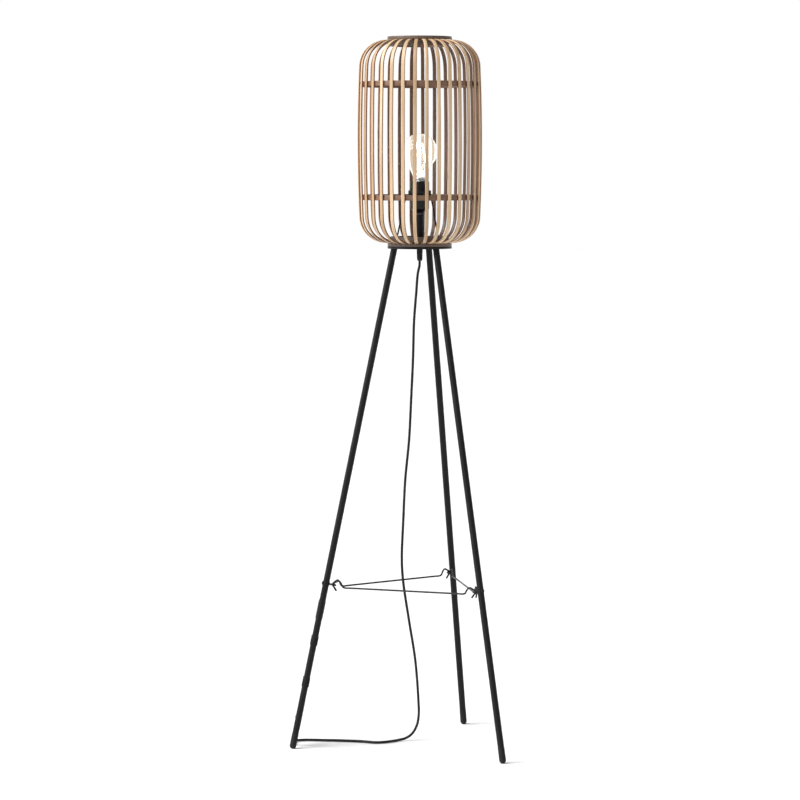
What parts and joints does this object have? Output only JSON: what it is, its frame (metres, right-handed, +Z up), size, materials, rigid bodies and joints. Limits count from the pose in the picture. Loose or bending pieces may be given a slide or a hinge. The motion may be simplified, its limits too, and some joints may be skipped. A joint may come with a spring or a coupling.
{
  "type": "tripod floor lamp",
  "caption": "Floor lamp with a barrel cage shade of split-bamboo slats around a clear bulb, on slender black steel tripod legs tied by hooked wire rods.",
  "frame": {"origin": "centre of the lamp's bounding box at floor level, measured without the cord, plug and switch; the shade's axis stands 58.9 mm toward -Y of it", "axes": "+Z up along the shade's axis, +Y toward the back leg, +X toward the right leg's side; the left and right legs stand toward -Y"},
  "size_m": [0.4362, 0.3654, 1.3],
  "materials": {
    "bamboo": "split bamboo strip, smooth skin outside and paler fibre on the cut edges",
    "collar_wood": "brown stained bent wood ring, satin",
    "black_steel": "satin black powder coat",
    "bolt_steel": "black painted steel",
    "rod_wire": "semi-gloss black coated wire",
    "black_plastic": "moulded black plastic, fine matt grain",
    "clear_glass": "clear blown glass",
    "cap_metal": "rolled aluminium screw cap",
    "contact_brass": "soldered brass contact over a dark glass insulator",
    "cord_sheath": "black round flexible cord, satin",
    "plug_plastic": "moulded black plastic with nickel pins",
    "rocker_plastic": "glossy black rocker"
  },
  "bodies": {
    "root": {"leg_left": "black_steel", "eye_bolt_left": "bolt_steel", "leg_right": "black_steel", "eye_bolt_right": "bolt_steel", "leg_back": "black_steel", "eye_bolt_back": "bolt_steel", "spreader_rod_front": "rod_wire", "spreader_rod_right": "rod_wire", "spreader_rod_left": "rod_wire", "head_plate": "black_steel", "stem_tube": "black_steel", "cord_grip": "black_plastic", "lampholder_cap": "black_plastic", "lampholder_skirt": "black_plastic", "shade_ring_nut": "black_plastic", "shade_spider": "black_steel", "collar_top": "collar_wood", "collar_bottom": "collar_wood", "slat_01": "bamboo", "slat_02": "bamboo", "slat_03": "bamboo", "slat_04": "bamboo", "slat_05": "bamboo", "slat_06": "bamboo", "slat_07": "bamboo", "slat_08": "bamboo", "slat_09": "bamboo", "slat_10": "bamboo", "slat_11": "bamboo", "slat_12": "bamboo", "slat_13": "bamboo", "slat_14": "bamboo", "slat_15": "bamboo", "slat_16": "bamboo", "slat_17": "bamboo", "slat_18": "bamboo", "slat_19": "bamboo", "slat_20": "bamboo", "slat_21": "bamboo", "slat_22": "bamboo", "slat_23": "bamboo", "slat_24": "bamboo", "slat_25": "bamboo", "slat_26": "bamboo", "slat_27": "bamboo", "slat_28": "bamboo", "slat_29": "bamboo", "slat_30": "bamboo", "slat_31": "bamboo", "slat_32": "bamboo", "hoop_upper": "bamboo", "hoop_lower": "bamboo", "cord": "cord_sheath", "switch_body": "plug_plastic", "cord_hank": "cord_sheath", "plug": "plug_plastic"},
    "bulb_lift": {"bulb_eyelet": "contact_brass"},
    "bulb": {"bulb_glass": "clear_glass", "bulb_cap": "cap_metal"},
    "rocker": {"switch_rocker": "rocker_plastic"}
  },
  "joints": [
    {"name": "bulb_travel", "type": "slide", "parent": "root", "child": "bulb_lift", "axis": [0, 0, 1], "range_m": [0, 0.0146]},
    {"name": "bulb_turn", "type": "hinge", "parent": "bulb_lift", "child": "bulb", "pos_m": [0, -0.05883, 1.03], "axis": [0, 0, 1], "range_deg": [0, 1440]},
    {"name": "switch_rocker", "type": "hinge", "parent": "root", "child": "rocker", "pos_m": [-0.20539, -0.14923, 0.05951], "axis": [0.3704, -0.9284, 0.0297], "range_deg": [0, 16]}
  ],
  "couplings": [
    {"joint": "bulb_travel", "follows": "bulb_turn", "m_per_rad": 0.00057757}
  ]
}
